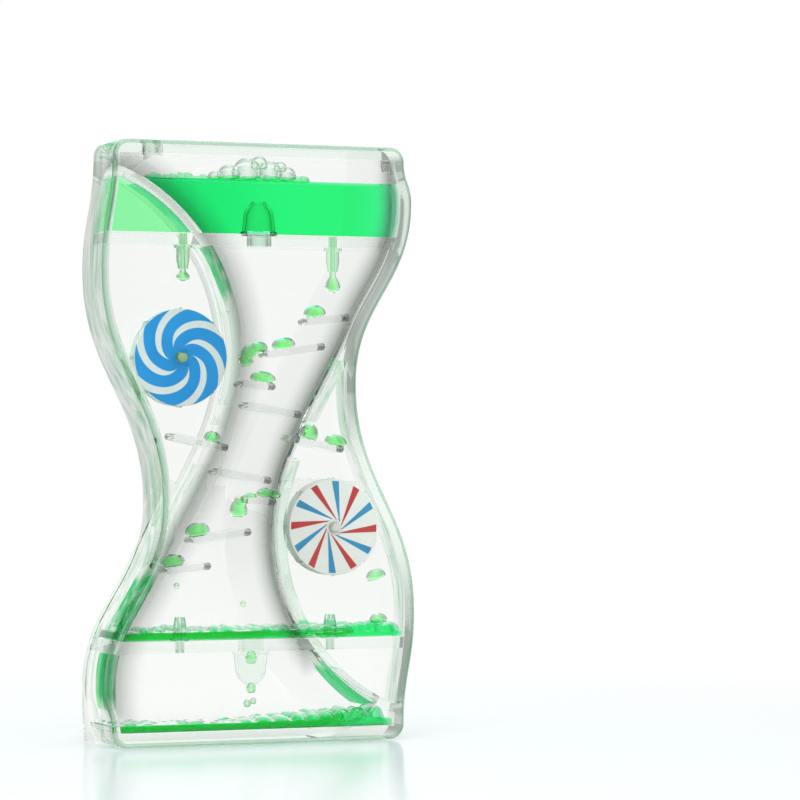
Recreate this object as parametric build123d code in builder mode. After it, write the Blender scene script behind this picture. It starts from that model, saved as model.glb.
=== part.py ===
from build123d import *
import math
import os

os.makedirs("parts", exist_ok=True)

# Casing. The outline looks the same after half a turn about the middle of the front face.
height = 140.0
depth = 27.0
end_half_width = 36.3
shoulder_half_width = 38.25
shoulder_drop = 13.3
waist_half_width = 24.0
waist_rise = 14.0
hip_half_width = 39.0
hip_height = 30.0
corner_radius = 3.5
curve_ease = 0.45
cover_thickness = 2.4
side_wall = 2.0
end_wall = 3.0
leaf_depth = 10.6
panel_thickness = 2.0
bulge_radius = 9.0
bulge_step = 0.4
round_share = 0.75
overrun_share = 1.5
cover_edge_radius = 1.0
halvings = 40

# S-shaped baffles: each leaves a side wall, swings in to a belly and runs out to a corner.
branch_share = 0.7
branch_reach = 19.0
belly_x = 6.75
belly_drop = 21.0
belly_reach_up = 17.0
belly_reach_down = 20.0
toe_height = 7.5
toe_run = 16.0
toe_rise = 5.5
toe_round = 18.0

# Ledges on the cover, in the half that is turned to make the other half: left end x, share of the
# way from mid height to the upper plates, right end x, share. The last one crosses a baffle.
crossing_ledge = (7.75, 0.0247, 21.25, -0.0329)
ledges = [
    (12.0, 0.5864, 22.75, 0.6091),
    (2.0, 0.4249, 16.5, 0.4681),
    (-4.2, 0.284, 4.0, 0.2695),
    (-3.0, 0.1831, 10.5, 0.1337),
    crossing_ledge,
]
ledge_thickness = 1.7
ledge_reach = 9.5
window_headroom = 4.0
window_gap = 0.4

# Drip plates, their bells and nozzles.
plate_drop = 21.4
plate_thickness = 2.6
plate_gap = 0.1
link_height = 4.0
link_rise = 0.6
link_margin = 1.0
bell_x = 1.0
bell_y = -6.4
bell_base_diameter = 9.0
bell_bore_diameter = 6.0
bell_mouth_diameter = 2.4
bell_wall = 0.9
bell_height = 8.0
bell_cone_height = 4.8
bell_lip = 0.8
drip_nozzle_x = 19.1
leaf_nozzle_margin = 1.77
nozzle_y = -8.5
nozzle_diameter = 3.2
nozzle_tip_diameter = 2.2
nozzle_bore = 1.0
nozzle_spigot_diameter = 2.0
nozzle_flange_diameter = 4.4
nozzle_flange_height = 0.8
nozzle_drop = 5.6
nozzle_cone = 2.2
seat_gap = 0.05

# Wheels: each stands midway between its side wall and its baffle.
wheel_share = 0.65
wheel_gap = 0.75
paddle_overhang = 0.3
paddle_count = 8
paddle_thickness = 0.9
paddle_width = 5.0
hub_diameter = 5.0
disc_thickness = 0.6
wheel_front_gap = 1.4
wheel_end_play = 0.2
boss_diameter = 4.2
pin_diameter = 2.2
pin_running_gap = 0.05
pin_seat = 1.2
slot_height = 22.0
slot_gap = 0.3
slot_reach = 4.0
slot_corner_radius = 2.0

# Filling hole in the top wall.
plug_x = -24.0
plug_diameter = 5.0
plug_chamfer = 0.4
plug_recess = 0.2

# Dyed liquid.
liquid_gap = 0.15
pool_depth = 12.8
layer_depth = 2.8
leaf_layer_depth = 4.6
base_pool_left = 2.0
base_pool_right = 5.5
drip_radius = 1.9
drip_neck = 0.9
drip_fullness = 1.4
drip_length = 5.2
leaf_drip_length = 3.0
# Beads on the ledges: ledge number, whether it is a turned copy, share of the way along it.
beads = [
    (0, False, 0.28),
    (1, False, 0.36),
    (2, False, 0.69),
    (4, False, 0.37),
    (4, False, 0.88),
    (4, True, 0.72),
    (2, True, 0.85),
    (1, True, 0.16),
    (0, True, 0.2),
]
bead_radius = 2.7
bead_height = 2.6
bead_foot_radius = 2.16
bead_inset = 3.4

# Places that follow from the sizes above.
middle = height / 2
front_y = -depth / 2
rear_y = depth / 2
cover_y = front_y + cover_thickness
panel_y = cover_y + leaf_depth
panel_back = panel_y + panel_thickness
rear_round = min(bulge_radius, round_share * (rear_y - panel_back))
overrun = overrun_share * bulge_radius
wide = 4 * hip_half_width
trim_step = bulge_step / 2
plate_top = height - plate_drop
ledge_room = plate_top - middle
half_turn = Axis((0, 0, middle), (0, 1, 0))
face_middle = Axis((0, middle, 0), (0, 0, 1))


def facing(y):
    """A plane across the casing at one depth, seen from the front: right and up."""
    return Plane.XZ.offset(-y)


def turned(point):
    """The same place on the other half of the casing."""
    return (-point[0], height - point[1])


def upright(start, end):
    """Control points of a curve that is upright at both ends."""
    reach = curve_ease * (start[1] - end[1])
    return [start, (start[0], start[1] - reach), (end[0], end[1] + reach), end]


def between(start, end, share):
    """The point at a share of the way from one point to another."""
    return tuple(a + (b - a) * share for a, b in zip(start, end))


def first_part(curve, share):
    """Control points of a curve's first part, up to a share of its length parameter."""
    first, second, third = [between(curve[i], curve[i + 1], share) for i in range(3)]
    fourth = between(first, second, share)
    return [curve[0], first, fourth, between(fourth, between(second, third, share), share)]


def level_point(curve, level):
    """The point where a falling curve passes a level, found by halving."""
    low, high = 0.0, 1.0
    for _ in range(halvings):
        share = (low + high) / 2
        point = first_part(curve, share)[3]
        if point[1] > level:
            low = share
        else:
            high = share
    return point


# The right-hand side of the casing from top to base, and the right-hand baffle.
top_corner = (end_half_width, height)
shoulder = (shoulder_half_width, height - shoulder_drop)
waist = (waist_half_width, middle + waist_rise)
hip = (hip_half_width, hip_height)
base_corner = (end_half_width, 0.0)
side_curves = [
    upright(top_corner, shoulder),
    upright(shoulder, waist),
    upright(waist, hip),
    upright(hip, base_corner),
]

bulge_shoulder = (shoulder_half_width - bulge_step, shoulder[1])
bulge_waist = (waist_half_width - bulge_step, waist[1])
branch_curve = first_part(upright(bulge_shoulder, bulge_waist), branch_share)
branch = branch_curve[3]
branch_step = math.dist(branch_curve[2], branch)
branch_handle = between(branch, branch_curve[2], -branch_reach / branch_step)
belly = (belly_x, middle - belly_drop)
toe = (end_half_width, toe_height)
toe_handle = (toe[0] - toe_run, toe[1] + toe_rise)
toe_end = between(toe_handle, toe, 1 + overrun / toe_run)
baffle_curves = [
    [branch, branch_handle, (belly_x, belly[1] + belly_reach_up), belly],
    [belly, (belly_x, belly[1] - belly_reach_down), toe_handle, toe],
]

# The S-shaped channel runs on past both ends of the casing and is trimmed to it later.
channel_start = (bulge_shoulder[0], height + overrun)
channel_corner = (toe_end[0], -overrun)
channel_sides = [
    [channel_start, bulge_shoulder],
    branch_curve,
    baffle_curves[0],
    baffle_curves[1],
    [toe, toe_end],
    [toe_end, channel_corner],
    [channel_corner, turned(channel_start)],
]
outline_start = (end_half_width, height + overrun)
outline_sides = [
    [outline_start, top_corner],
    *side_curves,
    [base_corner, (end_half_width, -overrun)],
    [(end_half_width, -overrun), turned(outline_start)],
]


def inward(start, end):
    """Unit vector to the inside of a leg that runs clockwise round the casing."""
    length = math.dist(start, end)
    return ((end[1] - start[1]) / length, (start[0] - end[0]) / length)


def closed_line(sides, inset):
    """The right-hand sides and their turned copies as one closed line, drawn in by an inset."""
    all_sides = sides + [[turned(point) for point in side] for side in sides]
    points = [point for side in all_sides for point in side[:-1]]
    moved = []
    for index, point in enumerate(points):
        before = inward(points[index - 1], point)
        after = inward(point, points[(index + 1) % len(points)])
        share = inset / (1 + before[0] * after[0] + before[1] * after[1])
        moved.append((point[0] + share * (before[0] + after[0]), point[1] + share * (before[1] + after[1])))
    start = 0
    with BuildLine() as line:
        for side in all_sides:
            stretch = [moved[(start + step) % len(moved)] for step in range(len(side))]
            start += len(side) - 1
            if len(side) == 2:
                Line(*stretch)
            else:
                Bezier(*stretch)
    return line.line


def outline_face(inset, end_inset):
    """The casing's outline, drawn in from its sides and from its two ends."""
    with BuildSketch() as face:
        add(closed_line(outline_sides, inset))
        make_face()
        with Locations((0, middle)):
            Rectangle(wide, height - 2 * end_inset, mode=Mode.INTERSECT)
        if inset < side_wall:
            ends = face.vertices().group_by(Axis.Y)
            fillet(ends[0] + ends[-1], corner_radius - inset)
    return face.sketch


def rear_outline_face(inset, end_inset):
    """The casing's outline for the bulge, which is rounded off well clear of two of its corners."""
    with BuildSketch() as corner:
        with Locations((end_half_width - toe_round, toe_round)):
            Rectangle(wide, wide, align=(Align.MIN, Align.MAX))
            Circle(toe_round - inset, mode=Mode.SUBTRACT)
    with BuildSketch() as face:
        add(outline_face(inset, end_inset))
        add(corner.sketch, mode=Mode.SUBTRACT)
        add(corner.sketch.rotate(face_middle, 180), mode=Mode.SUBTRACT)
    return face.sketch


def channel_face(inset):
    """The S-shaped channel's untrimmed outline, drawn in by an inset."""
    with BuildSketch() as face:
        add(closed_line(channel_sides, inset))
        make_face()
    return face.sketch


def chamber_face(gap):
    """The inside of the S-shaped channel, drawn in by a gap from its walls."""
    with BuildSketch() as face:
        add(channel_face(side_wall + gap))
        add(outline_face(side_wall + gap + trim_step, end_wall + gap), mode=Mode.INTERSECT)
    return face.sketch


def leaf_face(gap):
    """The upper left leaf chamber, drawn in by a gap from the walls round it."""
    with BuildSketch() as face:
        add(outline_face(side_wall + gap, end_wall + gap))
        add(channel_face(-gap), mode=Mode.SUBTRACT)
        with Locations((-wide / 2, middle)):
            Rectangle(wide, height, mode=Mode.INTERSECT)
    return face.sketch


def run_out(edge):
    """Whether an edge is one of the straight edges that close the untrimmed channel."""
    if edge.geom_type != GeomType.LINE:
        return False
    beyond_ends = abs(edge.center().Z - middle) > middle + overrun / 2
    beyond_sides = abs(edge.center().X) > toe[0] + overrun / 2
    along = edge.tangent_at(0)
    return (beyond_ends and abs(along.X) > abs(along.Z)) or (beyond_sides and abs(along.Z) > abs(along.X))


def channel_block(front, inset, end_inset):
    """The channel from a front depth to the rear wall, rounded behind and drawn in from its walls."""
    back = rear_y - inset
    with BuildPart() as block:
        with BuildSketch(facing(back)):
            add(channel_face(inset))
        extrude(amount=back - front)
        rear_edges = block.faces().sort_by(Axis.Y)[-1].edges()
        fillet(rear_edges.filter_by(lambda edge: not run_out(edge)), rear_round - inset)
        with BuildSketch(facing(back)):
            add(rear_outline_face(inset + trim_step, end_inset))
        extrude(amount=back - front, mode=Mode.INTERSECT)
    return block.part


def leaf_block(front, back, gap):
    """The upper left leaf chamber between two depths, drawn in by a gap."""
    with BuildPart() as block:
        with BuildSketch(facing(back)):
            add(leaf_face(gap))
        extrude(amount=back - front)
    return block.part


def between_levels(block, low, high):
    """The slice of a block between two heights."""
    with BuildPart() as piece:
        add(block)
        with Locations((0, 0, (low + high) / 2)):
            Box(wide, wide, high - low, mode=Mode.INTERSECT)
    return piece.part


def other_half(block):
    """A block turned to its place on the other half of the casing."""
    return block.rotate(half_turn, 180)


# Wheel places: midway between the slanting side wall and the baffle's belly.
wheel_curve = first_part(side_curves[2], wheel_share)
wheel_wall = wheel_curve[3]
wall_slope = (wheel_wall[0] - wheel_curve[2][0]) / (wheel_wall[1] - wheel_curve[2][1])
wall_cosine = 1 / math.hypot(1, wall_slope)
inner_wall_x = wheel_wall[0] - side_wall / wall_cosine
wheel_x = (belly_x + inner_wall_x * wall_cosine) / (1 + wall_cosine)
wheel_z = wheel_wall[1]
paddle_radius = wheel_x - belly_x - wheel_gap
disc_radius = paddle_radius - paddle_overhang
wheel_front = cover_y + wheel_front_gap
wheel_back = wheel_front + 2 * disc_thickness + paddle_width
lower_wheel_place = (wheel_x, wheel_z)
upper_wheel_place = turned(lower_wheel_place)


def ledge_ends(ledge):
    """The left and right ends of a ledge, seen from the front."""
    left_x, left_share, right_x, right_share = ledge
    return [(left_x, middle + left_share * ledge_room), (right_x, middle + right_share * ledge_room)]


def ledge_slot(ledge, growth, clearance):
    """One ledge's rounded bar as a sketch, made thicker by a growth and longer by a clearance."""
    left, right = ledge_ends(ledge)
    slope = math.degrees(math.atan2(right[1] - left[1], right[0] - left[0]))
    with BuildSketch() as bar:
        with Locations(Location((*between(left, right, 0.5), 0), slope)):
            SlotOverall(math.dist(left, right) + 2 * clearance, ledge_thickness + growth)
    return bar.sketch


def ledge_row(y, reach, row, growth, clearance):
    """Bars for a row of ledges, from one depth backwards, with their turned copies."""
    with BuildPart() as half:
        with BuildSketch(facing(y)):
            for ledge in row:
                add(ledge_slot(ledge, growth, clearance))
        extrude(amount=-reach)
    with BuildPart() as both:
        add(half.part)
        add(other_half(half.part))
    return both.part


# Front cover: flat plate with ten ledges and two axle bosses moulded on its inner face.
with BuildPart() as front_cover:
    with BuildSketch(facing(cover_y)):
        add(outline_face(0, 0))
    extrude(amount=cover_thickness)
    fillet(front_cover.faces().sort_by(Axis.Y)[0].edges(), cover_edge_radius)
    add(ledge_row(cover_y, ledge_reach, ledges, 0, 0))
    with BuildSketch(facing(cover_y)):
        with Locations(upper_wheel_place, lower_wheel_place):
            Circle(boss_diameter / 2)
    extrude(amount=-(wheel_front_gap - wheel_end_play))
    with BuildSketch(facing(cover_y - pin_seat)):
        with Locations(upper_wheel_place, lower_wheel_place):
            Circle(pin_diameter / 2)
    extrude(amount=-(pin_seat + wheel_front_gap), mode=Mode.SUBTRACT)
front_cover.part.label = "front_cover"
export_step(front_cover.part, "parts/front_cover.step")

# Bulge behind the leaf panels: the S-shaped channel's rear half, a wall of even thickness.
with BuildPart() as bulge:
    add(channel_block(panel_back, 0, 0))
    add(channel_block(panel_back, side_wall, end_wall), mode=Mode.SUBTRACT)

# Opening in the panel layer where the channel goes on into the bulge.
with BuildSketch() as bulge_mouth:
    add(chamber_face(0))
    add(rear_outline_face(side_wall + trim_step, end_wall), mode=Mode.INTERSECT)

# Opening through a baffle just above its plate, so that leaf and channel share one level.
with BuildPart() as link_box:
    link_left = 2 * side_wall - end_half_width
    link_middle = plate_top + link_rise + link_height / 2
    with Locations(((link_left - belly_x) / 2, (cover_y + panel_y) / 2, link_middle)):
        Box(-belly_x - link_left, leaf_depth - 2 * link_margin, link_height)

# Windows through the baffles round the ledges that cross them.
window_reach = ledge_reach + window_gap
windows = ledge_row(cover_y, window_reach, [crossing_ledge], 2 * window_headroom, window_gap)

# Slot through the belly of a baffle, where drops reach the paddles.
with BuildPart() as wheel_slot:
    with Locations((belly_x, (wheel_front + wheel_back) / 2, wheel_z)):
        Box(2 * slot_reach, wheel_back - wheel_front + 2 * slot_gap, slot_height)
    fillet(wheel_slot.edges().filter_by(Axis.X), slot_corner_radius)

# Rear shell: side walls, S-shaped baffles, leaf panels and bulge in one moulding.
with BuildPart() as rear_shell:
    with BuildSketch(facing(panel_y)):
        add(outline_face(0, 0))
        add(chamber_face(0), mode=Mode.SUBTRACT)
        add(leaf_face(0), mode=Mode.SUBTRACT)
        add(leaf_face(0).rotate(face_middle, 180), mode=Mode.SUBTRACT)
    extrude(amount=leaf_depth)
    with BuildSketch(facing(panel_back)):
        add(outline_face(0, 0))
        add(bulge_mouth.sketch, mode=Mode.SUBTRACT)
    extrude(amount=panel_thickness)
    add(bulge.part)
    with BuildSketch(facing(panel_y)):
        with Locations(upper_wheel_place, lower_wheel_place):
            Circle(boss_diameter / 2)
    extrude(amount=panel_y - wheel_back - wheel_end_play)
    with BuildSketch(facing(panel_y + pin_seat)):
        with Locations(upper_wheel_place, lower_wheel_place):
            Circle(pin_diameter / 2)
    extrude(amount=panel_y + pin_seat - wheel_back, mode=Mode.SUBTRACT)
    add(windows, mode=Mode.SUBTRACT)
    add(wheel_slot.part, mode=Mode.SUBTRACT)
    add(other_half(wheel_slot.part), mode=Mode.SUBTRACT)
    add(link_box.part, mode=Mode.SUBTRACT)
    add(other_half(link_box.part), mode=Mode.SUBTRACT)
    with Locations((plug_x, 0, height)):
        Hole(plug_diameter / 2, depth=end_wall)
rear_shell.part.label = "rear_shell"
export_step(rear_shell.part, "parts/rear_shell.step")

# Filler plug: pressed into the filling hole, a little below the top face.
with BuildPart() as filler_plug:
    with BuildSketch(Plane.XY.offset(height - end_wall)):
        with Locations((plug_x, 0)):
            Circle(plug_diameter / 2)
    extrude(amount=end_wall - plug_recess)
    chamfer(filler_plug.faces().sort_by(Axis.Z)[-1].edges(), plug_chamfer)
filler_plug.part.label = "filler_plug"
export_step(filler_plug.part, "parts/filler_plug.step")


def section_at(place, z):
    """An upright plane through a place in plan, for profiles that are revolved about it."""
    return Plane(origin=(place[0], place[1], z), x_dir=(1, 0, 0), z_dir=(0, -1, 0))


def upright_axis(place):
    """The vertical axis through a place in plan."""
    return Axis((place[0], place[1], 0), (0, 0, 1))


def bell_body(growth, hollow):
    """The vent bell on the upper drip plate, or its filled outer shape made larger by a growth."""
    base = bell_base_diameter / 2 + growth
    mouth = bell_mouth_diameter / 2
    cone_top = bell_base_diameter / 2 - bell_lip + growth
    top = bell_height + growth
    throat = mouth + bell_lip
    spigot = bell_bore_diameter / 2 - seat_gap
    with BuildPart() as body:
        with BuildSketch(section_at((bell_x, bell_y), plate_top)):
            with BuildLine():
                Line((base, 0), (base, bell_lip))
                Line((base, bell_lip), (cone_top, bell_cone_height))
                Bezier((cone_top, bell_cone_height), (cone_top, top - bell_lip), (throat, top), (mouth, top))
                if hollow:
                    Line((mouth, top), (mouth, top - bell_wall))
                    Bezier(
                        (mouth, top - bell_wall),
                        (throat, top - bell_wall),
                        (spigot - bell_wall, bell_cone_height + bell_wall),
                        (spigot - bell_wall, bell_cone_height),
                    )
                    Line((spigot - bell_wall, bell_cone_height), (spigot - bell_wall, -plate_thickness))
                    Line((spigot - bell_wall, -plate_thickness), (spigot, -plate_thickness))
                    Line((spigot, -plate_thickness), (spigot, 0))
                    Line((spigot, 0), (base, 0))
                else:
                    Polyline((mouth, top), (0, top), (0, 0), (base, 0))
            make_face()
        revolve(axis=upright_axis((bell_x, bell_y)))
    return body.part


def nozzle_body(place):
    """A drip tube pressed into a plate from below: spigot, flange under the plate, narrowing tip."""
    bore = nozzle_bore / 2
    spigot = nozzle_spigot_diameter / 2
    flange = nozzle_flange_diameter / 2
    outside = nozzle_diameter / 2
    flange_foot = -plate_thickness - nozzle_flange_height
    tip = -plate_thickness - nozzle_drop
    with BuildPart() as body:
        with BuildSketch(section_at(place, plate_top)):
            with BuildLine():
                Polyline(
                    (bore, 0),
                    (spigot, 0),
                    (spigot, -plate_thickness),
                    (flange, -plate_thickness),
                    (flange, flange_foot),
                    (outside, flange_foot),
                    (outside, tip + nozzle_cone),
                    (nozzle_tip_diameter / 2, tip),
                    (bore, tip),
                    close=True,
                )
            make_face()
        revolve(axis=upright_axis(place))
    return body.part


def drilled_plate(block, holes):
    """A floor plate cut from a block of its chamber, with round holes: place and diameter of each."""
    with BuildPart() as plate:
        add(between_levels(block, plate_top - plate_thickness, plate_top))
        for place, diameter in holes:
            with Locations((*place, plate_top)):
                Hole(diameter / 2, depth=plate_thickness)
    return plate.part


baffle_x = level_point(baffle_curves[1], height - plate_top)[0]
leaf_nozzle_x = -baffle_x - leaf_nozzle_margin
drip_nozzle_place = (drip_nozzle_x, nozzle_y)
leaf_nozzle_place = (leaf_nozzle_x, nozzle_y)
nozzle_hole = nozzle_spigot_diameter + 2 * seat_gap
plate_blocks = {
    "drip": channel_block(cover_y + plate_gap, side_wall + plate_gap, end_wall + plate_gap),
    "leaf": leaf_block(cover_y + plate_gap, panel_y - plate_gap, plate_gap),
}
plate_holes = {
    "drip": [((bell_x, bell_y), bell_bore_diameter), (drip_nozzle_place, nozzle_hole)],
    "leaf": [(leaf_nozzle_place, nozzle_hole)],
}

# Plates, bell and nozzles above, and the same pieces turned to their places below.
upper_pieces = {
    "drip_plate": drilled_plate(plate_blocks["drip"], plate_holes["drip"]),
    "leaf_plate": drilled_plate(plate_blocks["leaf"], plate_holes["leaf"]),
    "vent_bell": bell_body(0, True),
    "drip_nozzle": nozzle_body(drip_nozzle_place),
    "leaf_nozzle": nozzle_body(leaf_nozzle_place),
}
for name, piece in upper_pieces.items():
    for where, solid in (("upper", piece), ("lower", other_half(piece))):
        with BuildPart() as placed:
            add(solid)
        placed.part.label = f"{where}_{name}"
        export_step(placed.part, f"parts/{where}_{name}.step")

# Wheels: hub and paddles, a printed disc on each face, and the pin they turn on.
for where, place in (("upper", upper_wheel_place), ("lower", lower_wheel_place)):
    with BuildPart() as wheel:
        with BuildSketch(facing(wheel_front + disc_thickness)):
            with Locations(place):
                Circle(hub_diameter / 2)
                with PolarLocations(paddle_radius / 2, paddle_count):
                    Rectangle(paddle_radius, paddle_thickness)
                Circle(pin_diameter / 2 + pin_running_gap, mode=Mode.SUBTRACT)
        extrude(amount=-paddle_width)
    wheel.part.label = f"{where}_wheel"
    export_step(wheel.part, f"parts/{where}_wheel.step")

    disc_fronts = {"front": wheel_front, "rear": wheel_back - disc_thickness}
    for side, disc_front in disc_fronts.items():
        with BuildPart() as disc:
            with BuildSketch(facing(disc_front)):
                with Locations(place):
                    Circle(disc_radius)
                    Circle(pin_diameter / 2 + pin_running_gap, mode=Mode.SUBTRACT)
            extrude(amount=-disc_thickness)
        disc.part.label = f"{where}_{side}_disc"
        export_step(disc.part, f"parts/{where}_{side}_disc.step")

    with BuildPart() as pin:
        with BuildSketch(facing(cover_y - pin_seat)):
            with Locations(place):
                Circle(pin_diameter / 2)
        extrude(amount=-(leaf_depth + 2 * pin_seat))
    pin.part.label = f"{where}_axle_pin"
    export_step(pin.part, f"parts/{where}_axle_pin.step")

# Dyed liquid above the upper plates, round the bell.
pool_low = plate_top + liquid_gap
channel_liquid = channel_block(cover_y + liquid_gap, side_wall + liquid_gap, end_wall + liquid_gap)
leaf_liquid = leaf_block(cover_y + liquid_gap, panel_y - liquid_gap, liquid_gap)

with BuildPart() as upper_dyed_pool:
    add(between_levels(channel_liquid, pool_low, plate_top + pool_depth))
    add(bell_body(liquid_gap, False), mode=Mode.SUBTRACT)
upper_dyed_pool.part.label = "upper_dyed_pool"
export_step(upper_dyed_pool.part, "parts/upper_dyed_pool.step")

with BuildPart() as upper_leaf_pool:
    add(between_levels(leaf_liquid, pool_low, plate_top + pool_depth))
upper_leaf_pool.part.label = "upper_leaf_pool"
export_step(upper_leaf_pool.part, "parts/upper_leaf_pool.step")

# Dyed liquid on the lower plates, round the flanged tubes that stand on them, and on the base.
lower_plate_top = height - plate_top + plate_thickness
flange_room = nozzle_flange_diameter / 2 + liquid_gap
lower_layers = {
    "lower_dyed_layer": (channel_liquid, -drip_nozzle_x, layer_depth),
    "lower_leaf_layer": (other_half(leaf_liquid), -leaf_nozzle_x, leaf_layer_depth),
}
for name, (block, tube_x, layer) in lower_layers.items():
    with BuildPart() as liquid:
        add(between_levels(block, lower_plate_top + liquid_gap, lower_plate_top + layer))
        with Locations((tube_x, nozzle_y, lower_plate_top + layer)):
            Hole(flange_room, depth=layer)
    liquid.part.label = name
    export_step(liquid.part, f"parts/{name}.step")

with BuildPart() as base_dyed_pool:
    with BuildSketch(facing(panel_y - liquid_gap)):
        add(chamber_face(liquid_gap))
    extrude(amount=leaf_depth - 2 * liquid_gap)
    add(channel_liquid)
    with BuildSketch(facing(rear_y)):
        with BuildLine():
            Polyline(
                (-end_half_width, 0),
                (end_half_width, 0),
                (end_half_width, end_wall + base_pool_right),
                (-end_half_width, end_wall + base_pool_left),
                close=True,
            )
        make_face()
    extrude(amount=depth, mode=Mode.INTERSECT)
base_dyed_pool.part.label = "base_dyed_pool"
export_step(base_dyed_pool.part, "parts/base_dyed_pool.step")

# Drops that hang at the tips of the two upper nozzles.
belly_pull = drip_fullness * drip_radius
with BuildPart() as nozzle_drips:
    for place, length in ((drip_nozzle_place, drip_length), (leaf_nozzle_place, leaf_drip_length)):
        with BuildSketch(section_at(place, plate_top - plate_thickness - nozzle_drop - seat_gap)):
            with BuildLine():
                Bezier((0, -length), (belly_pull, -length), (drip_radius, -length / 2), (drip_neck, 0))
                Polyline((drip_neck, 0), (0, 0), (0, -length))
            make_face()
        revolve(axis=upright_axis(place))
nozzle_drips.part.label = "nozzle_drips"
export_step(nozzle_drips.part, "parts/nozzle_drips.step")


def bead_plane(number, is_turned, share):
    """A plane that stands on a ledge at a bead: along the ledge and square to it."""
    ends = ledge_ends(ledges[number])
    if is_turned:
        ends = [turned(ends[1]), turned(ends[0])]
    length = math.dist(*ends)
    along = ((ends[1][0] - ends[0][0]) / length, (ends[1][1] - ends[0][1]) / length)
    lift = ledge_thickness / 2 + seat_gap
    foot = between(ends[0], ends[1], share)
    origin = (foot[0] - lift * along[1], cover_y + bead_inset, foot[1] + lift * along[0])
    return Plane(origin=origin, x_dir=(along[0], 0, along[1]), z_dir=(0, -1, 0))


# Flattened beads of dyed liquid that lie on the ledges.
with BuildPart() as ledge_beads:
    for bead in beads:
        stand = bead_plane(*bead)
        with BuildSketch(stand):
            with BuildLine():
                Bezier((0, bead_height), (bead_radius, bead_height), (bead_radius, 0), (bead_foot_radius, 0))
                Polyline((bead_foot_radius, 0), (0, 0), (0, bead_height))
            make_face()
        revolve(axis=Axis(stand.origin, stand.y_dir))
ledge_beads.part.label = "ledge_beads"
export_step(ledge_beads.part, "parts/ledge_beads.step")
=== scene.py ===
import bpy
import math
import random
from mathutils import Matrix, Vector


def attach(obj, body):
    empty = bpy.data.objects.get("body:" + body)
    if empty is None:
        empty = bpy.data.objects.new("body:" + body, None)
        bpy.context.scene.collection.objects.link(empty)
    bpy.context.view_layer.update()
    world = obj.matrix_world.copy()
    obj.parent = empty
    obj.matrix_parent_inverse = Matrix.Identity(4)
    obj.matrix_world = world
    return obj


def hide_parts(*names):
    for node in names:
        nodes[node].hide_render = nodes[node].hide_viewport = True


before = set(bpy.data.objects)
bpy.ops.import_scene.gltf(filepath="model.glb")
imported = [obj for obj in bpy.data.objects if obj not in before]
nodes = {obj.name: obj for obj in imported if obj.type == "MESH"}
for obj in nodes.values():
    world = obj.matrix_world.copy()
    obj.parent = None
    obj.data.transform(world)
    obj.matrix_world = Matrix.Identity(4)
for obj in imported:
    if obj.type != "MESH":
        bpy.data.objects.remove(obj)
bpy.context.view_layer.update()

# Camera: a long lens at the height of the timer's middle, turned to show a little of its left side.
# The timer stands left of the picture's centre. Light may pass many clear walls before it is given up.
front_face = -0.0135
view_turn = math.radians(21.0)
view_distance = 0.85
view_height = 0.0701
aim_right = math.radians(2.17)
aim_up = math.radians(0.668)
scene = bpy.context.scene
camera_data = bpy.data.cameras.new("camera")
camera_data.lens = 164.0
camera_data.sensor_width = 36.0
camera_data.clip_start = 0.05
camera = bpy.data.objects.new("camera", camera_data)
scene.collection.objects.link(camera)
camera.location = (
    -view_distance * math.sin(view_turn),
    front_face - view_distance * math.cos(view_turn),
    view_height,
)
camera.rotation_euler = (math.pi / 2 + aim_up, 0.0, -view_turn - aim_right)
scene.camera = camera
scene.view_settings.view_transform = "Standard"
scene.cycles.max_bounces = 64
scene.cycles.transmission_bounces = 64
scene.cycles.glossy_bounces = 16

# Studio: a white backdrop all round and a soft lamp above. Clear pieces see it darker between its bright
# sides, so that their edges show, and mirror a dark camera side, so that no veil lies on the front. The
# camera and opaque surfaces see plain white.
white = (1.0, 1.0, 1.0)
corner_grey = (0.40, 0.42, 0.40)
camera_side_grey = (0.22, 0.23, 0.22)


def with_values(node, values):
    """Sets a shader node's own sockets."""
    for socket, value in values.items():
        node.inputs[socket].default_value = value
    return node


def added(tree, kind, values=None):
    """Adds a shader node and sets its sockets."""
    return with_values(tree.nodes.new("ShaderNode" + kind), values or {})


def wired(tree, *links):
    """Links nodes: each link gives a node and its output, then a node and its input."""
    for source, outlet, target, inlet in links:
        tree.links.new(source.outputs[outlet], target.inputs[inlet])


def worked(tree, operation, *values):
    """A math node's result; each value is a number or another node's result."""
    node = added(tree, "Math")
    node.operation = operation
    for socket, value in zip(node.inputs, values):
        if isinstance(value, float):
            socket.default_value = value
        else:
            tree.links.new(value, socket)
    return node.outputs["Value"]


def clamped(result):
    """Keeps a math node's result between nothing and one."""
    result.node.use_clamp = True
    return result


def mixed(tree, share, first, second):
    """A colour between two, each a colour or another node's result."""
    node = added(tree, "Mix")
    node.data_type = "RGBA"
    tree.links.new(share, node.inputs[0])
    for socket, colour in ((node.inputs[6], first), (node.inputs[7], second)):
        if isinstance(colour, tuple):
            socket.default_value = (*colour, 1.0)
        else:
            tree.links.new(colour, socket)
    return node.outputs[2]


def ramped(tree, share, *stops):
    """A colour ramp with stops, each a position and a colour."""
    node = added(tree, "ValToRGB")
    tree.links.new(share, node.inputs["Fac"])
    for element, (position, colour) in zip(node.color_ramp.elements, (stops[0], stops[-1])):
        element.position = position
        element.color = (*colour, 1.0)
    for position, colour in stops[1:-1]:
        node.color_ramp.elements.new(position).color = (*colour, 1.0)
    return node


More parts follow.
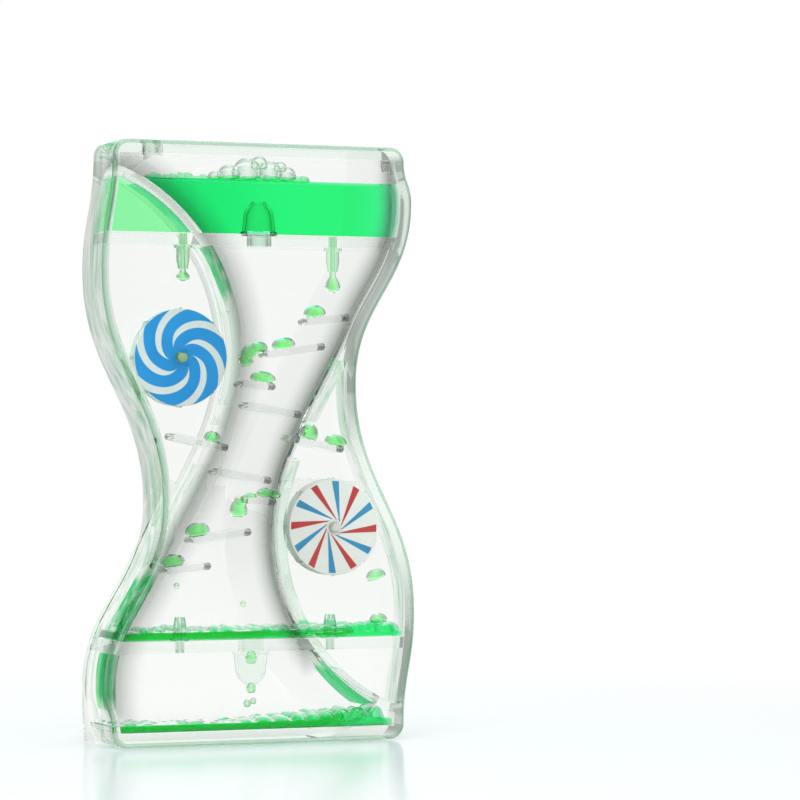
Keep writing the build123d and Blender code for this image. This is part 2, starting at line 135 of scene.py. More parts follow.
world = bpy.data.worlds.new("studio")
scene.world = world
world.use_nodes = True
tree = world.node_tree
tree.nodes.clear()
direction = added(tree, "TexCoord")
turn = added(tree, "Mapping", {"Rotation": (0.0, 0.0, view_turn)})
split = added(tree, "SeparateXYZ")
seen = added(tree, "LightPath")
wired(tree, (direction, "Generated", turn, "Vector"), (turn, "Vector", split, "Vector"))
across, along = [worked(tree, "ABSOLUTE", split.outputs[axis]) for axis in "XY"]
corner = worked(tree, "MINIMUM", across, along)
fall = ramped(tree, corner, (0.03, white), (0.62, corner_grey))
facing = added(tree, "MapRange", {"From Min": -0.35, "From Max": -0.8})
wired(tree, (split, "Y", facing, "Value"))
mirrored = worked(tree, "MULTIPLY", facing.outputs["Result"], seen.outputs["Is Glossy Ray"])
surround = added(tree, "Background")
tree.links.new(mixed(tree, mirrored, fall.outputs["Color"], camera_side_grey), surround.inputs["Color"])
# About half of the light is lost on its way into the casing, so for opaque surfaces that are lit through
# a clear wall the white is twice as bright, and their colours come out about as they are written.
soaked = clamped(worked(tree, "MULTIPLY", seen.outputs["Diffuse Depth"], seen.outputs["Transmission Depth"]))
backdrop = added(tree, "Background", {"Color": (*white, 1.0)})
tree.links.new(worked(tree, "ADD", soaked, 1.0), backdrop.inputs["Strength"])
plain = clamped(worked(tree, "ADD", seen.outputs["Is Camera Ray"], seen.outputs["Diffuse Depth"]))
choose = added(tree, "MixShader")
sky = added(tree, "OutputWorld")
tree.links.new(plain, choose.inputs["Fac"])
wired(
    tree,
    (surround, "Background", choose, 1), (backdrop, "Background", choose, 2),
    (choose, "Shader", sky, "Surface"),
)

lamp_data = bpy.data.lights.new("soft_lamp", "AREA")
lamp_data.shape = "DISK"
lamp_data.size = 0.9
lamp_data.energy = 6.0
lamp = bpy.data.objects.new("soft_lamp", lamp_data)
scene.collection.objects.link(lamp)
lamp.location = (-0.25, -0.45, 1.0)
lamp.rotation_euler = (Vector((0.0, 0.0, 0.07)) - lamp.location).to_track_quat("-Z", "Y").to_euler()

# Floor: a pale, slightly glossy table top that the timer stands on. Near the timer its cool grey-cyan
# colour is painted shade and reflection, on top of its real gloss and shadow. Away from the timer it runs
# out into the white backdrop. Clear pieces see it darker, so that their lower edges show.
# The table's cool grey-cyan is painted shade and reflection under the timer.
table_shade_colour = (0.72, 0.82, 0.84)
table_seen_through = (0.53, 0.53, 0.52)


def surfaced(name, values):
    """A new finish with values on its shader's sockets, its node tree and that shader."""
    material = bpy.data.materials.new(name)
    material.use_nodes = True
    tree = material.node_tree
    return material, tree, with_values(tree.nodes["Principled BSDF"], values)


bpy.ops.object.select_all(action="DESELECT")
bpy.ops.mesh.primitive_circle_add(vertices=96, radius=6.0, fill_type="NGON", location=(0.0, 0.0, -0.0002))
bpy.ops.object.transform_apply(location=True, rotation=True, scale=True)
floor = bpy.context.object
floor.name = "floor"
floor_finish, tree, table = surfaced("pale_table", {"Roughness": 0.15, "Specular IOR Level": 0.35})
seen = added(tree, "LightPath")
tone = mixed(tree, seen.outputs["Is Transmission Ray"], table_shade_colour, table_seen_through)
tree.links.new(tone, table.inputs["Base Color"])
place = added(tree, "TexCoord")
reach = added(tree, "VectorMath")
reach.operation = "LENGTH"
# Near the timer the white glow fades out, so that the table's painted shade shows there.
fade = added(tree, "MapRange", {"From Min": 0.06, "From Max": 0.28, "To Min": 0.1})
wired(tree, (place, "Object", reach, 0), (reach, "Value", fade, "Value"))
glow = added(tree, "Emission", {"Color": (*white, 1.0)})
choose = added(tree, "MixShader")
share = worked(tree, "MULTIPLY", fade.outputs["Result"], seen.outputs["Is Camera Ray"])
tree.links.new(share, choose.inputs["Fac"])
wired(
    tree,
    (table, "BSDF", choose, 1), (glow, "Emission", choose, 2),
    (choose, "Shader", tree.nodes["Material Output"], "Surface"),
)
floor.data.materials.append(floor_finish)

# Rear shell: one clear moulding. Side walls and two flat leaf panels stand round an S-shaped channel,
# which bulges out behind them and is rounded along its edges. Slots, windows and links pierce the
# walls between the channel and the leaf chambers.
mm = 0.001
height = 140.0
end_half_width = 36.3
shoulder = (38.25, 126.7)
waist = (24.0, 84.0)
hip = (39.0, 30.0)
corner_radius = 3.5
cover_y = -11.1
panel_y = -0.5
panel_back = 1.5
rear_y = 13.5
side_wall = 2.0
end_wall = 3.0
bulge_step = 0.4
bulge_round = 10.5
overrun = 13.5
branch_share = 0.7
branch_pull = 19.0
belly = (6.75, 49.0)
belly_pull_up = 17.0
belly_pull_down = 20.0
toe = (end_half_width, 7.5)
toe_pull = 16.0
toe_handle = (toe[0] - toe_pull, toe[1] + 5.5)
toe_round = 18.0
plate_low = 116.0
plate_top = 118.6
upper_wheel_place = (-19.1127, 89.8101)
lower_wheel_place = (19.1127, 50.1899)
wheel_front = -9.7
wheel_back = -3.5
crossing_ledge = (7.75, 71.2, 21.25, 68.4)
ledge_thickness = 1.7
curve_steps = 24
turned_angle = math.radians(35.0)
wall_angle = 30.0
fine_cut = 0.000001
spare = 1.0
mouth_spare = 0.5
hollow_lap = 3.0


def half_turned(point):
    """A point of the front plane after half a turn about the timer's middle."""
    return (-point[0], height - point[1])


def upright(start, end):
    """A curve that leaves its upper end and reaches its lower end upright."""
    reach = 0.45 * (start[1] - end[1])
    return [start, (start[0], start[1] - reach), (end[0], end[1] + reach), end]


def between(start, end, share):
    """A point part of the way from one to another."""
    return tuple(a + (b - a) * share for a, b in zip(start, end))


def first_part(curve, share):
    """The first part of a curve, cut off at a share of its run."""
    first, second, third = [between(curve[i], curve[i + 1], share) for i in range(3)]
    fourth = between(first, second, share)
    return [curve[0], first, fourth, between(fourth, between(second, third, share), share)]


def quarter_round(start, corner, end):
    """A quarter circle that rounds a corner off."""
    return [start, between(start, corner, 0.5523), between(end, corner, 0.5523), end]


bulge_shoulder = (shoulder[0] - bulge_step, shoulder[1])
branch_curve = first_part(upright(bulge_shoulder, (waist[0] - bulge_step, waist[1])), branch_share)
branch = branch_curve[3]
branch_handle = between(branch, branch_curve[2], -branch_pull / math.dist(branch_curve[2], branch))
toe_end = between(toe_handle, toe, 1 + overrun / toe_pull)
channel_start = (bulge_shoulder[0], height + overrun)
channel_corner = (toe_end[0], -overrun)
channel_sides = [
    [channel_start, bulge_shoulder],
    branch_curve,
    [branch, branch_handle, (belly[0], belly[1] + belly_pull_up), belly],
    [belly, (belly[0], belly[1] - belly_pull_down), toe_handle, toe],
    [toe, toe_end],
    [toe_end, channel_corner],
    [channel_corner, half_turned(channel_start)],
]
top_corner = (end_half_width, height)
base_corner = (end_half_width, 0.0)
round_top = quarter_round(
    (end_half_width - corner_radius, height), top_corner, (end_half_width, height - corner_radius)
)
round_base = quarter_round(
    (end_half_width, corner_radius), base_corner, (end_half_width - corner_radius, 0.0)
)
casing_sides = [
    round_top,
    upright(round_top[3], shoulder),
    upright(shoulder, waist),
    upright(waist, hip),
    upright(hip, round_base[0]),
    round_base,
    [round_base[3], half_turned(round_top[0])],
]
wall_sides = [
    [(end_half_width, height + overrun), top_corner],
    upright(top_corner, shoulder),
    upright(shoulder, waist),
    upright(waist, hip),
    upright(hip, base_corner),
    [base_corner, (end_half_width, -overrun)],
    [(end_half_width, -overrun), (-end_half_width, -overrun)],
]
toe_arc = quarter_round((end_half_width, toe_round), base_corner, (end_half_width - toe_round, 0.0))
bulge_sides = wall_sides[:4] + [
    upright(hip, toe_arc[0]),
    toe_arc,
    [toe_arc[3], (toe_arc[3][0], -overrun)],
    [(toe_arc[3][0], -overrun), (-end_half_width, -overrun)],
]


def all_picked():
    """Opens the active piece in edit mode with all of it selected."""
    bpy.ops.object.mode_set(mode="EDIT")
    bpy.ops.mesh.select_all(action="SELECT")


def picked(piece, kind, test):
    """Opens the active piece in edit mode with those edges or faces selected that pass a test."""
    bpy.ops.object.mode_set(mode="EDIT")
    bpy.ops.mesh.select_mode(type=kind)
    bpy.ops.mesh.select_all(action="DESELECT")
    bpy.ops.object.mode_set(mode="OBJECT")
    for part in piece.data.edges if kind == "EDGE" else piece.data.polygons:
        part.select = test(part)
    bpy.ops.object.mode_set(mode="EDIT")


def drawn_face(name, sides):
    """Draws a closed outline and its half-turned copy as one curve in the front plane and fills it."""
    sides = [list(side) for side in sides] + [[half_turned(point) for point in side] for side in sides]
    straight = [number for number, side in enumerate(sides) if len(side) == 2]
    for number in straight:
        start, end = sides[number]
        sides[number][1:1] = [between(start, end, 1 / 3), between(start, end, 2 / 3)]
    bpy.ops.object.select_all(action="DESELECT")
    bpy.ops.curve.primitive_bezier_curve_add(location=(0.0, 0.0, 0.0))
    piece = bpy.context.object
    piece.name = name
    piece.data.dimensions = "3D"
    spline = piece.data.splines[0]
    spline.bezier_points.add(len(sides) - 2)
    spline.use_cyclic_u = True
    spline.resolution_u = curve_steps
    for index, side in enumerate(sides):
        before = sides[index - 1]
        knot = spline.bezier_points[index]
        knot.handle_left_type = "FREE"
        knot.handle_right_type = "FREE"
        knot.co = (side[0][0] * mm, 0.0, side[0][1] * mm)
        knot.handle_left = (before[-2][0] * mm, 0.0, before[-2][1] * mm)
        knot.handle_right = (side[1][0] * mm, 0.0, side[1][1] * mm)
    bpy.ops.object.convert(target="MESH")
    bpy.ops.object.mode_set(mode="EDIT")
    bpy.ops.mesh.select_mode(type="VERT")
    bpy.ops.mesh.select_all(action="DESELECT")
    bpy.ops.object.mode_set(mode="OBJECT")
    for number in straight:
        for step in range(1, curve_steps):
            piece.data.vertices[number * curve_steps + step].select = True
    bpy.ops.object.mode_set(mode="EDIT")
    bpy.ops.mesh.dissolve_verts()
    bpy.ops.mesh.select_all(action="SELECT")
    bpy.ops.mesh.edge_face_add()
    bpy.ops.object.mode_set(mode="OBJECT")
    return piece


def pulled_back(piece, front, back):
    """Moves a drawn face to its front depth and extrudes it to its rear depth."""
    all_picked()
    bpy.ops.transform.translate(value=(0.0, front * mm, 0.0))
    bpy.ops.mesh.extrude_region_move(TRANSFORM_OT_translate={"value": (0.0, (back - front) * mm, 0.0)})
    bpy.ops.mesh.select_all(action="SELECT")
    bpy.ops.mesh.normals_make_consistent(inside=False)
    bpy.ops.object.mode_set(mode="OBJECT")
    return piece


def inward(start, end):
    """The direction square to a line, towards the inside of its outline."""
    length = math.dist(start, end)
    return ((end[1] - start[1]) / length, (start[0] - end[0]) / length)


def drawn_in(sides, inset):
    """The sides of a closed outline moved towards its inside by an inset."""
    every = sides + [[half_turned(point) for point in side] for side in sides]
    points = [point for side in every for point in side[:-1]]
    moved = []
    for index, point in enumerate(points):
        before = inward(points[index - 1], point)
        after = inward(point, points[(index + 1) % len(points)])
        share = inset / (1 + before[0] * after[0] + before[1] * after[1])
        moved.append((point[0] + share * (before[0] + after[0]), point[1] + share * (before[1] + after[1])))
    drawn = []
    start = 0
    for side in sides:
        drawn.append([moved[(start + step) % len(moved)] for step in range(len(side))])
        start += len(side) - 1
    return drawn


def rear_face(piece):
    """The number of a piece's rearmost face."""
    return max(piece.data.polygons, key=lambda face: face.center.y).index


def rounded_behind(piece, radius):
    """Rounds the rear rim of an extruded piece: small insets that follow a quarter circle."""
    rear = rear_face(piece)
    picked(piece, "FACE", lambda face: face.index == rear)
    bpy.ops.transform.translate(value=(0.0, -radius * mm, 0.0))
    steps = 16
    angles = [math.pi / 2 * step / steps for step in range(steps + 1)]
    for low, high in zip(angles, angles[1:]):
        bpy.ops.mesh.inset(
            thickness=radius * mm * (math.cos(low) - math.cos(high)),
            depth=radius * mm * (math.sin(high) - math.sin(low)),
            use_boundary=True,
            use_even_offset=True,
        )
    bpy.ops.object.mode_set(mode="OBJECT")
    return piece


def sliced(piece, spot, normal, tolerance=fine_cut):
    """Cuts a piece at a plane, throws away what lies on the normal's side and closes the cut."""
    all_picked()
    bpy.ops.mesh.bisect(
        plane_co=[value * mm for value in spot],
        plane_no=normal,
        use_fill=True,
        clear_outer=True,
        threshold=tolerance,
    )
    bpy.ops.object.mode_set(mode="OBJECT")
    return piece


def trimmed(piece, low, high):
    """Cuts a piece off level at a lower and an upper height."""
    sliced(piece, (0.0, 0.0, low), (0.0, 0.0, -1.0))
    return sliced(piece, (0.0, 0.0, high), (0.0, 0.0, 1.0))


def chosen(piece):
    """Makes a piece the only one selected, and the active one."""
    bpy.ops.object.select_all(action="DESELECT")
    piece.select_set(True)
    bpy.context.view_layer.objects.active = piece
    return piece


def modified(piece, kind, **settings):
    """Adds a modifier to the active piece, sets it and applies it."""
    bpy.ops.object.modifier_add(type=kind)
    modifier = piece.modifiers[-1]
    for setting, value in settings.items():
        setattr(modifier, setting, value)
    bpy.ops.object.modifier_apply(modifier=modifier.name)
    return piece


def joined(piece, tool, operation):
    """Applies a boolean with a second piece, which is then thrown away."""
    modified(chosen(piece), "BOOLEAN", operation=operation, object=tool, solver="EXACT")
    bpy.data.objects.remove(tool)
    return piece


def outlined(name, sides, front, back):
    """A piece drawn by its outline and pulled back, as a tool a little longer than what it cuts."""
    return pulled_back(drawn_face(name, sides), front - spare, back + spare)


def channel_piece(name, inset, front, back, low, high):
    """The S-shaped channel, drawn in from its walls and trimmed to the casing and to two heights."""
    piece = pulled_back(drawn_face(name, drawn_in(channel_sides, inset)), front, back)
    trimmed(rounded_behind(piece, bulge_round - inset), low, high)
    casing = outlined("casing_tool", drawn_in(bulge_sides, inset + bulge_step / 2), front, back)
    return joined(piece, casing, "INTERSECT")


def leaf_piece(name, inset, gap, front, back, low, high):
    """The two leaf chambers: what the side walls leave beside the channel."""
    piece = trimmed(pulled_back(drawn_face(name, drawn_in(wall_sides, inset)), front, back), low, high)
    channel = outlined("channel_tool", drawn_in(channel_sides, -gap), front, back)
    return joined(piece, channel, "DIFFERENCE")


def front_chamber(name, inset, front, back, low, high):
    """The channel in front of the leaf panels, which reaches into the casing's corners."""
    piece = trimmed(pulled_back(drawn_face(name, drawn_in(channel_sides, inset)), front, back), low, high)
    casing = outlined("casing_tool", drawn_in(wall_sides, inset + bulge_step / 2), front, back)
    return joined(piece, casing, "INTERSECT")


def block(name, size, centre, tilt):
    """A block of a size, tilted in the front plane, at its place."""
    bpy.ops.object.select_all(action="DESELECT")
    bpy.ops.mesh.primitive_cube_add(
        size=1.0,
        location=[value * mm for value in centre],
        rotation=(0.0, -tilt, 0.0),
        scale=[value * mm for value in size],
    )
    piece = bpy.context.object
    piece.name = name
    bpy.ops.object.transform_apply(location=True, rotation=True, scale=True)
    return piece


def rounded_along(piece, axis, radius, segments):
    """Rounds the edges of a block that run along one axis."""

    def runs_along(edge):
        start, end = [piece.data.vertices[number].co for number in edge.vertices]
        return abs((end - start)[axis]) > 0.99 * (end - start).length

    picked(piece, "EDGE", runs_along)
    bpy.ops.mesh.bevel(offset=radius * mm, segments=segments, affect="EDGES", clamp_overlap=False)
    bpy.ops.object.mode_set(mode="OBJECT")
    return piece


def turned_copy(piece, name):
    """A copy of a piece, half a turn round in the front plane."""
    chosen(piece)
    bpy.ops.object.duplicate()
    copy = bpy.context.object
    copy.name = name
    all_picked()
    bpy.ops.transform.rotate(value=math.pi, orient_axis="Y", center_override=(0.0, 0.0, height / 2 * mm))
    bpy.ops.object.mode_set(mode="OBJECT")
    return copy


def lathed(name, profile, centre, axis, steps):
    """Draws half a section, point by point from an axis, and spins it round that axis."""

    def placed(x, run):
        return Vector((x, centre[1], run) if axis == "Z" else (x, run, centre[1])) * mm

    spots = [placed(centre[0] + radius, run) for radius, run in profile]
    bpy.ops.object.select_all(action="DESELECT")
    bpy.ops.mesh.primitive_plane_add(size=mm, location=(0.0, 0.0, 0.0))
    piece = bpy.context.object
    piece.name = name
    bpy.ops.object.mode_set(mode="EDIT")
    bpy.ops.mesh.select_mode(type="VERT")
    bpy.ops.mesh.select_all(action="SELECT")
    bpy.ops.mesh.merge(type="CENTER")
    bpy.ops.transform.translate(value=spots[0])
    for start, end in zip(spots, spots[1:]):
        bpy.ops.mesh.extrude_region_move(TRANSFORM_OT_translate={"value": end - start})
    bpy.ops.mesh.select_all(action="SELECT")
    bpy.ops.mesh.spin(
        steps=steps,
        angle=2 * math.pi,
        center=placed(centre[0], 0.0),
        axis=(0.0, 0.0, 1.0) if axis == "Z" else (0.0, 1.0, 0.0),
    )
    bpy.ops.mesh.select_all(action="SELECT")
    bpy.ops.mesh.remove_doubles(threshold=0.000005)
    bpy.ops.mesh.normals_make_consistent(inside=False)
    bpy.ops.object.mode_set(mode="OBJECT")
    bpy.ops.object.shade_smooth_by_angle(angle=turned_angle)
    return piece


def evened(piece, angle):
    """Shades a piece smooth below an angle and keeps its large flat faces flat."""
    chosen(piece)
    bpy.ops.object.shade_smooth_by_angle(angle=math.radians(angle))
    return modified(piece, "WEIGHTED_NORMAL", keep_sharp=True)


def clear_finish(name, colour, refraction, waviness):
    """Clear moulded plastic or liquid: polished, with a faint unevenness left by the mould."""
    material, tree, shader = surfaced(
        name, {"Base Color": (*colour, 1.0), "Roughness": 0.0, "IOR": refraction, "Transmission Weight": 1.0}
    )
    place = added(tree, "TexCoord")
    ripple = added(tree, "TexNoise", {"Scale": 90.0, "Detail": 2.0})
    bump = added(tree, "Bump", {"Strength": waviness, "Distance": 0.001})
    wired(
        tree,
        (place, "Object", ripple, "Vector"), (ripple, "Fac", bump, "Height"),
        (bump, "Normal", shader, "Normal"),
    )
    return material


def streaked(material, pale, deep, low, high):
    """Tints a clear finish in long uneven streaks by a colour ramp: painted shade on the casing's walls,
    uneven dye in the films.
    """
    tree = material.node_tree
    place = added(tree, "TexCoord")
    stretch = added(tree, "Mapping", {"Scale": (1.0, 1.0, 0.16)})
    streak = added(tree, "TexNoise", {"Scale": 380.0, "Detail": 3.0, "Distortion": 0.6})
    tone = ramped(tree, streak.outputs["Fac"], (low, pale), (high, deep))
    wired(
        tree,
        (place, "Object", stretch, "Vector"), (stretch, "Vector", streak, "Vector"),
        (tone, "Color", tree.nodes["Principled BSDF"], "Base Color"),
    )
    return tone


def finished_with(piece, finishes, number=0):
    """Gives a piece its finishes and all its faces one of them."""
    piece.data.materials.clear()
    for finish in finishes:
        piece.data.materials.append(finish)
    for face in piece.data.polygons:
        face.material_index = number
    return piece


# Faces that the oil wets hardly bend light, since oil and plastic are nearly alike. Outer faces do.
outer_finish = clear_finish("clear_plastic", (0.98, 0.99, 0.98), 1.49, 0.02)
wetted_finish = clear_finish("clear_plastic_wetted", (0.99, 0.997, 0.99), 1.01, 0.02)
# The outer edges are pale with the plastic's green cast. Their dark green streaks are painted shade for the
# dark lines that refraction draws in thick clear walls.
edge_finish = clear_finish("clear_plastic_edge_with_painted_shade", (0.93, 0.97, 0.93), 1.04, 0.05)
streaked(edge_finish, (0.93, 0.97, 0.94), (0.34, 0.58, 0.42), 0.42, 0.68)
rim_finish = clear_finish("clear_plastic_rim", (0.82, 0.93, 0.85), 1.01, 0.02)
bulge_finish = clear_finish("clear_plastic_bulge", (0.97, 0.99, 0.97), 1.06, 0.02)
# The inner walls have the same cast, and their dark green streaks are painted shade for the lines that
# refraction draws.
wall_finish = clear_finish("clear_plastic_wall_with_painted_shade", (0.97, 0.99, 0.97), 1.015, 0.05)
streaked(wall_finish, (0.97, 0.99, 0.97), (0.40, 0.74, 0.50), 0.44, 0.68)
# The front bevel is tinted dark green: painted shade for the thin dark line along the cover's front edge.
bevel_shade_finish = clear_finish("clear_plastic_bevel_painted_shade", (0.36, 0.60, 0.44), 1.30, 0.04)
casing_finishes = (
    outer_finish, wetted_finish, edge_finish, rim_finish, bulge_finish, wall_finish, bevel_shade_finish,
)
on_outside, on_wetted, on_edge, on_rim, on_bulge, on_wall, on_bevel = range(len(casing_finishes))

shell = pulled_back(drawn_face("shell", casing_sides), cover_y, panel_back)
finished_with(shell, casing_finishes, on_outside)
for face in shell.data.polygons:
    if face.normal.y < -0.5:
        face.material_index = on_rim
    elif face.normal.y < 0.5:
        face.material_index = on_edge
bulge = channel_piece("bulge", 0.0, panel_back - 1.0, rear_y, 0.0, height)
finished_with(bulge, casing_finishes, on_outside)
for face in bulge.data.polygons:
    if abs(face.normal.y) < 0.99:
        face.material_index = on_bulge
joined(shell, bulge, "UNION")
leaves = leaf_piece("leaves", side_wall, 0.0, cover_y - mouth_spare, panel_y, end_wall, height - end_wall)
finished_with(leaves, casing_finishes, on_wetted)
for face in leaves.data.polygons:
    if abs(face.normal.y) < 0.5:
        face.material_index = on_wall
joined(shell, leaves, "DIFFERENCE")
chamber = front_chamber("chamber", side_wall, cover_y - mouth_spare, panel_y, end_wall, height - end_wall)
joined(shell, finished_with(chamber, casing_finishes, on_wetted), "DIFFERENCE")
hollow = channel_piece(
    "hollow", side_wall, panel_y - hollow_lap, rear_y - side_wall, end_wall, height - end_wall
)
joined(shell, finished_with(hollow, casing_finishes, on_wetted), "DIFFERENCE")

wheel_slot = block(
    "wheel_slot",
    (8.0, wheel_back - wheel_front + 0.6, 22.0),
    (belly[0], (wheel_front + wheel_back) / 2, lower_wheel_place[1]),
    0.0,
)
rounded_along(wheel_slot, 0, 2.0, 6)
left_x, left_z, right_x, right_z = crossing_ledge
window = block(
    "window",
    (math.dist(crossing_ledge[:2], crossing_ledge[2:]) + 0.8, 10.9, ledge_thickness + 8.0),
    ((left_x + right_x) / 2, cover_y + 4.45, (left_z + right_z) / 2),
    math.atan2(right_z - left_z, right_x - left_x),
)
rounded_along(window, 1, 4.8, 10)
link = block("link", (25.55, 8.6, 4.0), (-19.525, -5.8, plate_top + 2.6), 0.0)
rounded_along(link, 0, 0.8, 4)
for opening, number in ((wheel_slot, on_rim), (window, on_wetted), (link, on_wetted)):
    finished_with(opening, casing_finishes, number)
    joined(shell, turned_copy(opening, "opening"), "DIFFERENCE")
    joined(shell, opening, "DIFFERENCE")
plug_place = (-24.0, 0.0)
plug_hole_profile = [(0.0, 136.0), (2.5, 136.0), (2.5, 141.0), (0.0, 141.0)]
plug_hole = lathed("plug_hole", plug_hole_profile, plug_place, "Z", 32)
joined(shell, finished_with(plug_hole, casing_finishes, on_outside), "DIFFERENCE")
boss_profile = [
    (0.0, wheel_back + 0.2), (1.9, wheel_back + 0.2), (2.1, wheel_back + 0.4), (2.1, 0.5), (0.0, 0.5),
]
for place in (upper_wheel_place, lower_wheel_place):
    boss = lathed("boss", boss_profile, place, "Y", 40)
    joined(shell, finished_with(boss, casing_finishes, on_wetted), "UNION")
evened(shell, wall_angle)
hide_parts("rear_shell")
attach(shell, "casing")

# Coves: painted shade for the soft grey shading that the channel's rounded walls show behind the cover. A
# faint grey, see-through fillet round the channel, deep at the wall and thin inwards, stands for it. It is
# there for the look alone, and is no piece that the real timer has.
cove_front = 0.05
cove_reach = 10.0
cove_steps = [
    (0.0, 9.95), (0.8, 8.0), (1.8, 5.9), (3.0, 3.8), (4.2, 2.2), (5.4, 1.0), (6.3, 0.4), (7.0, 0.05),
]


def dyed(name, refraction, density, colour, waviness):
    """A clear stuff that is coloured in proportion to its depth."""
    material = clear_finish(name, white, refraction, waviness)
    tree = material.node_tree
    dye = added(tree, "VolumeAbsorption", {"Color": (*colour, 1.0), "Density": density})
    wired(tree, (dye, "Volume", tree.nodes["Material Output"], "Volume"))
    return material


coves = drawn_face("coves", drawn_in(channel_sides, side_wall + 0.02))
pulled_back(coves, cover_y + cove_front, cover_y + cove_reach)
rear = rear_face(coves)
picked(coves, "FACE", lambda face: face.index == rear)
for (start, deep), (end, shallow) in zip(cove_steps, cove_steps[1:]):
    bpy.ops.mesh.inset(
        thickness=(end - start) * mm, depth=(shallow - deep) * mm, use_boundary=True, use_even_offset=True
    )
# The middle of the rear face and the whole front face go, and their rims are bridged to close the ring.
bpy.ops.object.mode_set(mode="OBJECT")
min(coves.data.polygons, key=lambda face: face.center.y + face.normal.y).select = True
bpy.ops.object.mode_set(mode="EDIT")
bpy.ops.mesh.delete(type="ONLY_FACE")
bpy.ops.mesh.select_mode(type="EDGE")
bpy.ops.mesh.select_all(action="DESELECT")
bpy.ops.mesh.select_non_manifold()
bpy.ops.mesh.bridge_edge_loops()
bpy.ops.mesh.select_all(action="SELECT")
bpy.ops.mesh.normals_make_consistent(inside=False)
bpy.ops.object.mode_set(mode="OBJECT")
trimmed(coves, end_wall + cove_front, height - end_wall - cove_front)
# A sloping cut lets it fade out towards the base, higher up on the right.
sliced(coves, (-20.0, cover_y, 7.0), (0.25, 1.0, -1.0), 0.0001)
cove_limit = drawn_face("cove_limit", drawn_in(wall_sides, side_wall + bulge_step))
joined(coves, pulled_back(cove_limit, cover_y - spare, panel_y), "INTERSECT")
# Its grey absorption is the painted shade.
cove_shade_finish = dyed("painted_shade_cove", 1.003, 160.0, (0.30, 0.34, 0.30), 0.0)
evened(finished_with(coves, (cove_shade_finish,)), wall_angle)
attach(coves, "casing")

# Floor plates: two plates across the channel and two across the leaf chambers, cut from clear sheet
# with a faint green cast and seated between cover and shell. Holes take the bells and the drip tubes.
plate_finish = clear_finish("clear_plastic_plate", (0.93, 0.97, 0.94), 1.025, 0.03)
for name in ("upper_drip_plate", "lower_drip_plate", "upper_leaf_plate", "lower_leaf_plate"):
    nodes[name].data.materials.clear()
    nodes[name].data.materials.append(plate_finish)

# Vent bells: thin clear bells over the hole in each drip plate, open at the narrow mouth. A spigot
# under the rim is pushed into the plate, and the lower one hangs upside down.
bell_place = (1.0, -6.4)
bell_profile = [
    (2.95, 0.0), (4.4, 0.0), (4.5, 0.1), (4.5, 0.7), (4.4, 0.8), (4.15, 0.9), (3.7, 4.8), (3.35, 5.9),
    (2.6, 6.9), (1.85, 7.5), (1.55, 8.0), (1.2, 8.0), (1.1, 7.4), (1.6, 6.8), (2.3, 5.9), (2.8, 4.8),
    (3.15, 0.9), (2.05, 0.0),
]
spigot_start = [(2.05, plate_low), (2.95, plate_low)]
spigot_end = [(2.05, plate_low)]
bell_finish = clear_finish("clear_plastic_bell", (0.86, 0.95, 0.89), 1.14, 0.02)
bell_section = spigot_start + [(radius, plate_top + run) for radius, run in bell_profile] + spigot_end
upper_bell = finished_with(lathed("upper_bell", bell_section, bell_place, "Z", 64), (bell_finish,))
lower_bell = finished_with(turned_copy(upper_bell, "lower_bell"), (plate_finish,))
for bell, name in ((upper_bell, "upper_vent_bell"), (lower_bell, "lower_vent_bell")):
    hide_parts(name)
    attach(bell, "casing")

# Drip nozzles: small turned tubes with a flange, pushed into the plates from the side that they drip on.
# The dyed liquid leaves by a fine bore at the tip, and fills the upper two, which look green.
drip_place = (19.1, -8.5)
leaf_place = (-18.4, -8.5)
nozzle_length = 5.6
nozzle_profile = [
    (1.0, 0.0), (2.1, 0.0), (2.2, 0.1), (2.2, 0.7), (2.1, 0.8), (1.6, 0.8), (1.6, 3.4), (1.2, 5.5),
    (1.1, nozzle_length), (0.6, nozzle_length), (0.5, 5.5),
]
nozzle_section = [(0.5, plate_top), (1.0, plate_top)]
nozzle_section += [(radius, plate_low - run) for radius, run in nozzle_profile] + [(0.5, plate_top)]
filled_finish = clear_finish("clear_plastic_wet_nozzle", (0.66, 0.94, 0.70), 1.10, 0.02)
for place, upper_node, lower_node in (
    (drip_place, "upper_drip_nozzle", "lower_drip_nozzle"),
    (leaf_place, "upper_leaf_nozzle", "lower_leaf_nozzle"),
):
    nozzle = finished_with(lathed(upper_node + "_tube", nozzle_section, place, "Z", 40), (filled_finish,))
    turned_nozzle = finished_with(turned_copy(nozzle, lower_node + "_tube"), (bell_finish,))
    for tube, name in ((nozzle, upper_node), (turned_nozzle, lower_node)):
        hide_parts(name)
        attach(tube, "casing")

# Axle pins: short turned pins with rounded ends, seated in the bosses of shell and cover. The upper one
# is yellow-green, the lower one nearly white.
pin_profile = [
    (0.0, -12.3), (0.8, -12.3), (1.03, -12.2), (1.1, -12.0), (1.1, 0.4), (1.03, 0.6), (0.8, 0.7), (0.0, 0.7),
]


def moulded_finish(name, colour, mottle, roughness):
    """Opaque moulded plastic with a faint mottle and a fine uneven surface."""
    material, tree, shader = surfaced(name, {"Roughness": roughness})
    place = added(tree, "TexCoord")
    cloud = added(tree, "TexNoise", {"Scale": 700.0, "Detail": 3.0})
    tone = ramped(tree, cloud.outputs["Fac"], (0.3, colour), (0.7, mottle))
    bump = added(tree, "Bump", {"Strength": 0.1, "Distance": 0.0002})
    wired(
        tree,
        (place, "Object", cloud, "Vector"), (cloud, "Fac", bump, "Height"),
        (tone, "Color", shader, "Base Color"), (bump, "Normal", shader, "Normal"),
    )
    return material


